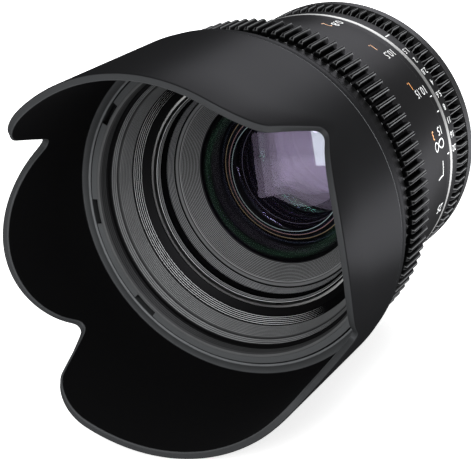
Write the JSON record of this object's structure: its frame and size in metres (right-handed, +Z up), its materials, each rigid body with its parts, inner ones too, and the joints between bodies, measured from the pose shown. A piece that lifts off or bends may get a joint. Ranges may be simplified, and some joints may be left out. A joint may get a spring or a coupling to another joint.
{
  "type": "cinema prime lens",
  "caption": "Manual full-frame cinema prime lens with geared focus and iris rings, helical focusing, an iris, a bayonet mount and a petal hood.",
  "frame": {"origin": "centre of the bayonet's flange face, on the optical axis", "axes": "+Y along the optical axis towards the camera, -Y towards the subject, +Z up with a long hood petal at the top"},
  "size_m": [0.0936, 0.1255, 0.0938],
  "materials": {
    "mount_steel": "satin turned",
    "screw_steel": "blackened",
    "index_red": "paint fill",
    "bright_ring": "bright turned",
    "black_anodised": "black anodised, satin",
    "gear_black": "black anodised, satin",
    "bare_metal": "machined",
    "pin_steel": "ground",
    "baffle_plastic": "matt black",
    "hood_plastic": "fine satin outside, flocked inside",
    "coated_glass": "polished, anti-reflection coated",
    "blade_steel": "matt black, dry lubricated"
  },
  "bodies": {
    "barrel": {"mount_plate": "mount_steel", "mount_screws": "screw_steel", "mount_index": "index_red", "rear_light_baffle": "baffle_plastic", "rear_housing": "black_anodised", "accent_ring": "bright_ring", "index_ring": "black_anodised", "index_screws": "screw_steel", "guide_sleeve": "bare_metal", "front_sleeve": "black_anodised", "hub_screws": "screw_steel", "filter_ring": "black_anodised", "front_baffle": "black_anodised"},
    "iris_ring": {"iris_ring_barrel": "black_anodised", "iris_ring_gear": "gear_black", "iris_ring_fork": "bare_metal"},
    "focus_ring": {"focus_ring_barrel": "black_anodised", "focus_ring_gear": "gear_black", "focus_stop_pin": "pin_steel", "cam_ring": "bare_metal", "cam_screws": "screw_steel"},
    "optical_block": {"block_tube": "black_anodised", "guide_pins": "pin_steel", "cell_screws": "screw_steel", "front_cell": "black_anodised", "front_retainer": "black_anodised", "second_retainer": "black_anodised", "doublet_retainer": "black_anodised", "rear_cell": "black_anodised", "rear_retainer": "black_anodised", "rear_spacer_6_7": "black_anodised", "rear_spacer_7_8": "black_anodised", "rear_spacer_8_9": "black_anodised", "iris_base": "black_anodised", "iris_spacer": "black_anodised", "lens_element_1": "coated_glass", "lens_element_2": "coated_glass", "lens_element_3": "coated_glass", "lens_element_4": "coated_glass", "lens_element_5": "coated_glass", "lens_element_6": "coated_glass", "lens_element_7": "coated_glass", "lens_element_8": "coated_glass", "lens_element_9": "coated_glass"},
    "iris_drive": {"iris_drive_ring": "black_anodised"},
    "hood": {"hood": "hood_plastic"},
    "iris_blade_1": {"iris_blade_1": "blade_steel"},
    "iris_blade_2": {"iris_blade_2": "blade_steel"},
    "iris_blade_3": {"iris_blade_3": "blade_steel"},
    "iris_blade_4": {"iris_blade_4": "blade_steel"},
    "iris_blade_5": {"iris_blade_5": "blade_steel"},
    "iris_blade_6": {"iris_blade_6": "blade_steel"},
    "iris_blade_7": {"iris_blade_7": "blade_steel"},
    "iris_blade_8": {"iris_blade_8": "blade_steel"},
    "iris_blade_9": {"iris_blade_9": "blade_steel"}
  },
  "joints": [
    {"name": "focus_turn", "type": "hinge", "parent": "barrel", "child": "focus_ring", "pos_m": [0, -0.05, 0], "axis": [0, 1, 0], "range_deg": [0, 158]},
    {"name": "focus_travel", "type": "slide", "parent": "barrel", "child": "optical_block", "axis": [0, -1, 0], "range_m": [0, 0.007]},
    {"name": "iris_turn", "type": "hinge", "parent": "barrel", "child": "iris_ring", "pos_m": [0, -0.014, 0], "axis": [0, -1, 0], "range_deg": [0, 53]},
    {"name": "iris_drive_turn", "type": "hinge", "parent": "optical_block", "child": "iris_drive", "pos_m": [0, -0.028, 0], "axis": [0, -1, 0], "range_deg": [0, 53]},
    {"name": "hood_turn", "type": "hinge", "parent": "barrel", "child": "hood", "pos_m": [0, -0.073, 0], "axis": [0, -1, 0], "range_deg": [0, 90]},
    {"name": "iris_blade_1_swing", "type": "hinge", "parent": "optical_block", "child": "iris_blade_1", "pos_m": [0.0251, -0.029, 0], "axis": [0, -1, 0], "range_deg": [0, 33.34]},
    {"name": "iris_blade_2_swing", "type": "hinge", "parent": "optical_block", "child": "iris_blade_2", "pos_m": [0.01923, -0.029, 0.01613], "axis": [0, -1, 0], "range_deg": [0, 33.34]},
    {"name": "iris_blade_3_swing", "type": "hinge", "parent": "optical_block", "child": "iris_blade_3", "pos_m": [0.00436, -0.029, 0.02472], "axis": [0, -1, 0], "range_deg": [0, 33.34]},
    {"name": "iris_blade_4_swing", "type": "hinge", "parent": "optical_block", "child": "iris_blade_4", "pos_m": [-0.01255, -0.029, 0.02174], "axis": [0, -1, 0], "range_deg": [0, 33.34]},
    {"name": "iris_blade_5_swing", "type": "hinge", "parent": "optical_block", "child": "iris_blade_5", "pos_m": [-0.02359, -0.029, 0.00858], "axis": [0, -1, 0], "range_deg": [0, 33.34]},
    {"name": "iris_blade_6_swing", "type": "hinge", "parent": "optical_block", "child": "iris_blade_6", "pos_m": [-0.02359, -0.029, -0.00858], "axis": [0, -1, 0], "range_deg": [0, 33.34]},
    {"name": "iris_blade_7_swing", "type": "hinge", "parent": "optical_block", "child": "iris_blade_7", "pos_m": [-0.01255, -0.029, -0.02174], "axis": [0, -1, 0], "range_deg": [0, 33.34]},
    {"name": "iris_blade_8_swing", "type": "hinge", "parent": "optical_block", "child": "iris_blade_8", "pos_m": [0.00436, -0.029, -0.02472], "axis": [0, -1, 0], "range_deg": [0, 33.34]},
    {"name": "iris_blade_9_swing", "type": "hinge", "parent": "optical_block", "child": "iris_blade_9", "pos_m": [0.01923, -0.029, -0.01613], "axis": [0, -1, 0], "range_deg": [0, 33.34]}
  ],
  "couplings": [
    {"joint": "focus_travel", "follows": "focus_turn", "m_per_rad": 0.0025384},
    {"joint": "iris_drive_turn", "follows": "iris_turn", "ratio": 1},
    {"joint": "iris_blade_1_swing", "follows": "iris_turn", "ratio": 0.62887},
    {"joint": "iris_blade_2_swing", "follows": "iris_turn", "ratio": 0.62887},
    {"joint": "iris_blade_3_swing", "follows": "iris_turn", "ratio": 0.62887},
    {"joint": "iris_blade_4_swing", "follows": "iris_turn", "ratio": 0.62887},
    {"joint": "iris_blade_5_swing", "follows": "iris_turn", "ratio": 0.62887},
    {"joint": "iris_blade_6_swing", "follows": "iris_turn", "ratio": 0.62887},
    {"joint": "iris_blade_7_swing", "follows": "iris_turn", "ratio": 0.62887},
    {"joint": "iris_blade_8_swing", "follows": "iris_turn", "ratio": 0.62887},
    {"joint": "iris_blade_9_swing", "follows": "iris_turn", "ratio": 0.62887}
  ]
}
